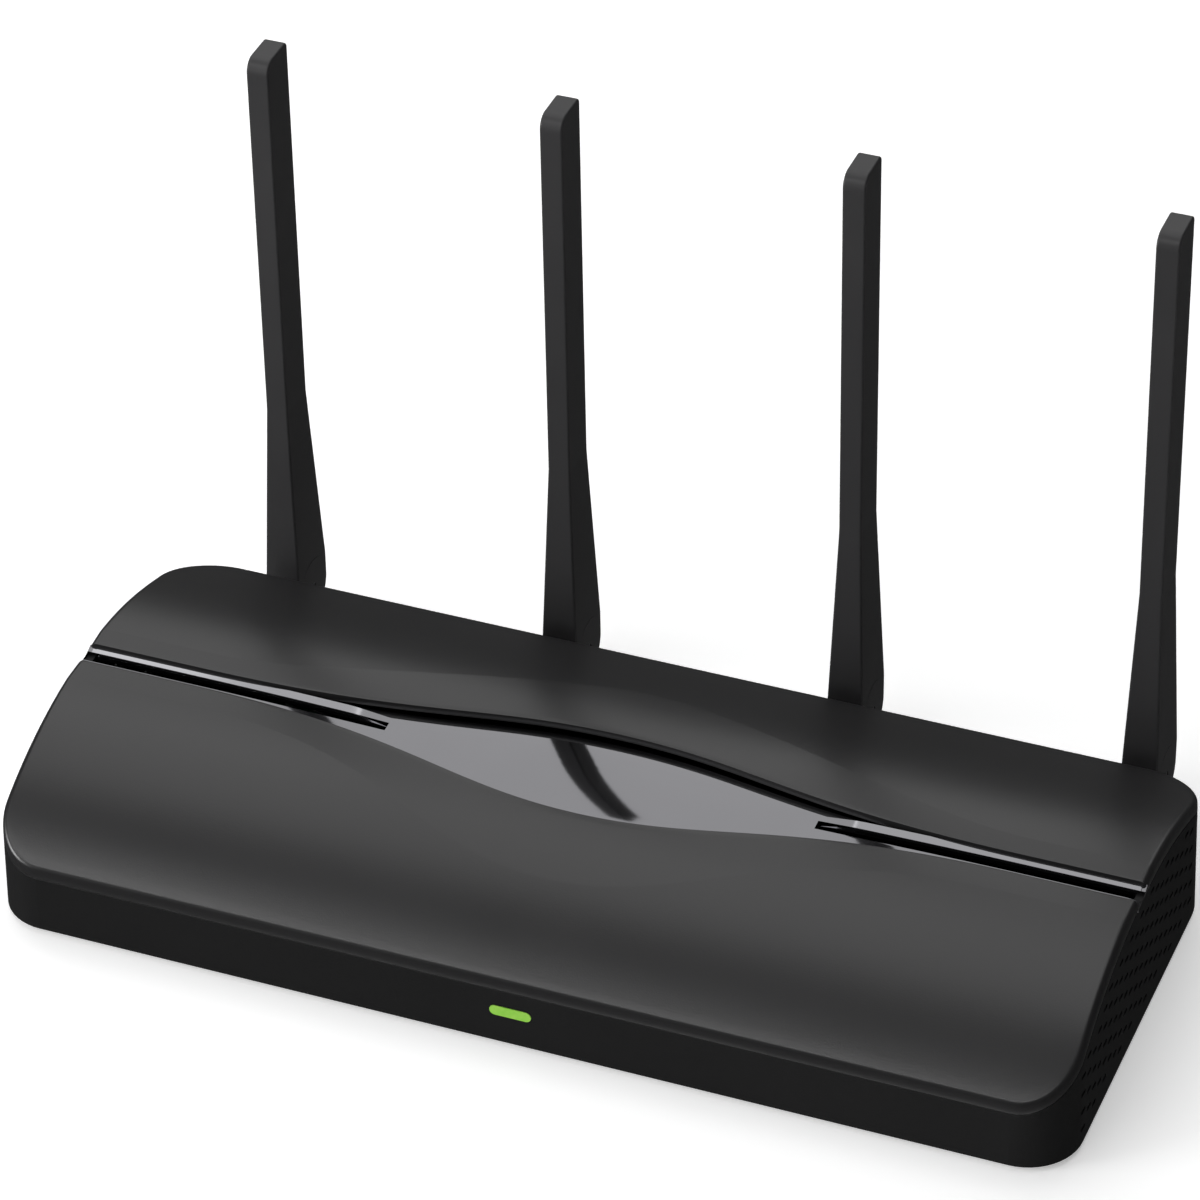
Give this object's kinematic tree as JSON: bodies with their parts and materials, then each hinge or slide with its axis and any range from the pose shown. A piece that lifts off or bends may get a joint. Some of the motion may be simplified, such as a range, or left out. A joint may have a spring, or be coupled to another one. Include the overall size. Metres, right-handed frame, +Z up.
{
  "type": "wireless router",
  "caption": "Desktop wireless router: domed dark grey case with a glossy lens-shaped trim, side vents, a green status light, network jacks and folding blade aerials.",
  "frame": {"origin": "on the desk plane, under the centre of the bounding box, aerials upright", "axes": "+X to the right as the front is seen, +Y to the rear where the jacks and aerials are, +Z up"},
  "size_m": [0.26, 0.1378, 0.1645],
  "materials": {
    "case_plastic": "fine spark-eroded texture",
    "cover_plastic": "fine matte, soft sheen",
    "gloss_trim": "piano black gloss",
    "light_lens": "lit green translucent window",
    "foot_rubber": "matte",
    "label_film": "blank printed film",
    "screw_steel": "zinc plated",
    "sheet_steel": "tin plated",
    "board_laminate": "solder mask",
    "chip_resin": "moulded resin",
    "pad_silicone": "soft pad",
    "sink_aluminium": "extruded",
    "can_aluminium": "bright can",
    "contact_gold": "gold flashed",
    "jack_plastic": "moulded",
    "button_plastic": "moulded",
    "hub_plastic": "moulded",
    "aerial_plastic": "matte, slightly satin edges",
    "radiator_copper": "bare copper strip",
    "cable_jacket": "thin black jacket"
  },
  "bodies": {
    "root": {"base_case": "case_plastic", "top_front_cover": "cover_plastic", "top_rear_cover": "cover_plastic", "centre_trim": "gloss_trim", "light_guide": "light_lens", "rubber_feet": "foot_rubber", "rating_label": "label_film", "case_screws": "screw_steel", "board_screws": "screw_steel", "status_lamp": "light_lens", "main_board": "board_laminate", "processor": "chip_resin", "memory_chip": "chip_resin", "flash_chip": "chip_resin", "low_band_radio_chip": "chip_resin", "high_band_radio_chip": "chip_resin", "clock_crystal": "sheet_steel", "thermal_pad": "pad_silicone", "heat_sink": "sink_aluminium", "low_band_shield_can": "sheet_steel", "high_band_shield_can": "sheet_steel", "capacitors": "can_aluminium", "power_inductor": "chip_resin", "isolation_transformers": "chip_resin", "jack_shields": "sheet_steel", "jack_contacts": "contact_gold", "power_socket": "jack_plastic", "power_socket_pin": "contact_gold", "power_switch": "jack_plastic", "wps_switch": "jack_plastic", "wan_jack": "jack_plastic", "aerial_connectors": "contact_gold", "aerial_cables": "cable_jacket", "lan_jack_1": "jack_plastic", "lan_jack_2": "jack_plastic", "lan_jack_3": "jack_plastic"},
    "aerial_1_swivel": {"aerial_1_hub": "hub_plastic", "aerial_1_clip": "sheet_steel"},
    "aerial_1_tilt": {"aerial_1_blade": "aerial_plastic", "aerial_1_radiator": "radiator_copper", "aerial_1_pin": "screw_steel"},
    "aerial_2_swivel": {"aerial_2_hub": "hub_plastic", "aerial_2_clip": "sheet_steel"},
    "aerial_2_tilt": {"aerial_2_blade": "aerial_plastic", "aerial_2_radiator": "radiator_copper", "aerial_2_pin": "screw_steel"},
    "aerial_3_swivel": {"aerial_3_hub": "hub_plastic", "aerial_3_clip": "sheet_steel"},
    "aerial_3_tilt": {"aerial_3_blade": "aerial_plastic", "aerial_3_radiator": "radiator_copper", "aerial_3_pin": "screw_steel"},
    "aerial_4_swivel": {"aerial_4_hub": "hub_plastic", "aerial_4_clip": "sheet_steel"},
    "aerial_4_tilt": {"aerial_4_blade": "aerial_plastic", "aerial_4_radiator": "radiator_copper", "aerial_4_pin": "screw_steel"},
    "power_key": {"power_button": "button_plastic", "power_plunger": "jack_plastic"},
    "wps_key": {"wps_button": "button_plastic", "wps_plunger": "jack_plastic"}
  },
  "joints": [
    {"name": "aerial_1_turn", "type": "hinge", "parent": "root", "child": "aerial_1_swivel", "pos_m": [-0.10875, 0.04308, 0.0125], "axis": [0, 1, 0], "range_deg": [-90, 25]},
    {"name": "aerial_1_fold", "type": "hinge", "parent": "aerial_1_swivel", "child": "aerial_1_tilt", "pos_m": [-0.10875, 0.06082, 0.0125], "axis": [-1, 0, 0], "range_deg": [0, 90]},
    {"name": "aerial_2_turn", "type": "hinge", "parent": "root", "child": "aerial_2_swivel", "pos_m": [-0.03625, 0.04308, 0.0125], "axis": [0, 1, 0], "range_deg": [-25, 25]},
    {"name": "aerial_2_fold", "type": "hinge", "parent": "aerial_2_swivel", "child": "aerial_2_tilt", "pos_m": [-0.03625, 0.06082, 0.0125], "axis": [-1, 0, 0], "range_deg": [0, 90]},
    {"name": "aerial_3_turn", "type": "hinge", "parent": "root", "child": "aerial_3_swivel", "pos_m": [0.03625, 0.04308, 0.0125], "axis": [0, 1, 0], "range_deg": [-25, 25]},
    {"name": "aerial_3_fold", "type": "hinge", "parent": "aerial_3_swivel", "child": "aerial_3_tilt", "pos_m": [0.03625, 0.06082, 0.0125], "axis": [-1, 0, 0], "range_deg": [0, 90]},
    {"name": "aerial_4_turn", "type": "hinge", "parent": "root", "child": "aerial_4_swivel", "pos_m": [0.10875, 0.04308, 0.0125], "axis": [0, 1, 0], "range_deg": [-25, 90]},
    {"name": "aerial_4_fold", "type": "hinge", "parent": "aerial_4_swivel", "child": "aerial_4_tilt", "pos_m": [0.10875, 0.06082, 0.0125], "axis": [-1, 0, 0], "range_deg": [0, 90]},
    {"name": "power_press", "type": "slide", "parent": "root", "child": "power_key", "axis": [0, -1, 0], "range_m": [0, 0.0015], "stiffness_N_per_m": 400, "springref_m": -0.002},
    {"name": "wps_press", "type": "slide", "parent": "root", "child": "wps_key", "axis": [0, -1, 0], "range_m": [0, 0.0006], "stiffness_N_per_m": 600, "springref_m": -0.002}
  ]
}
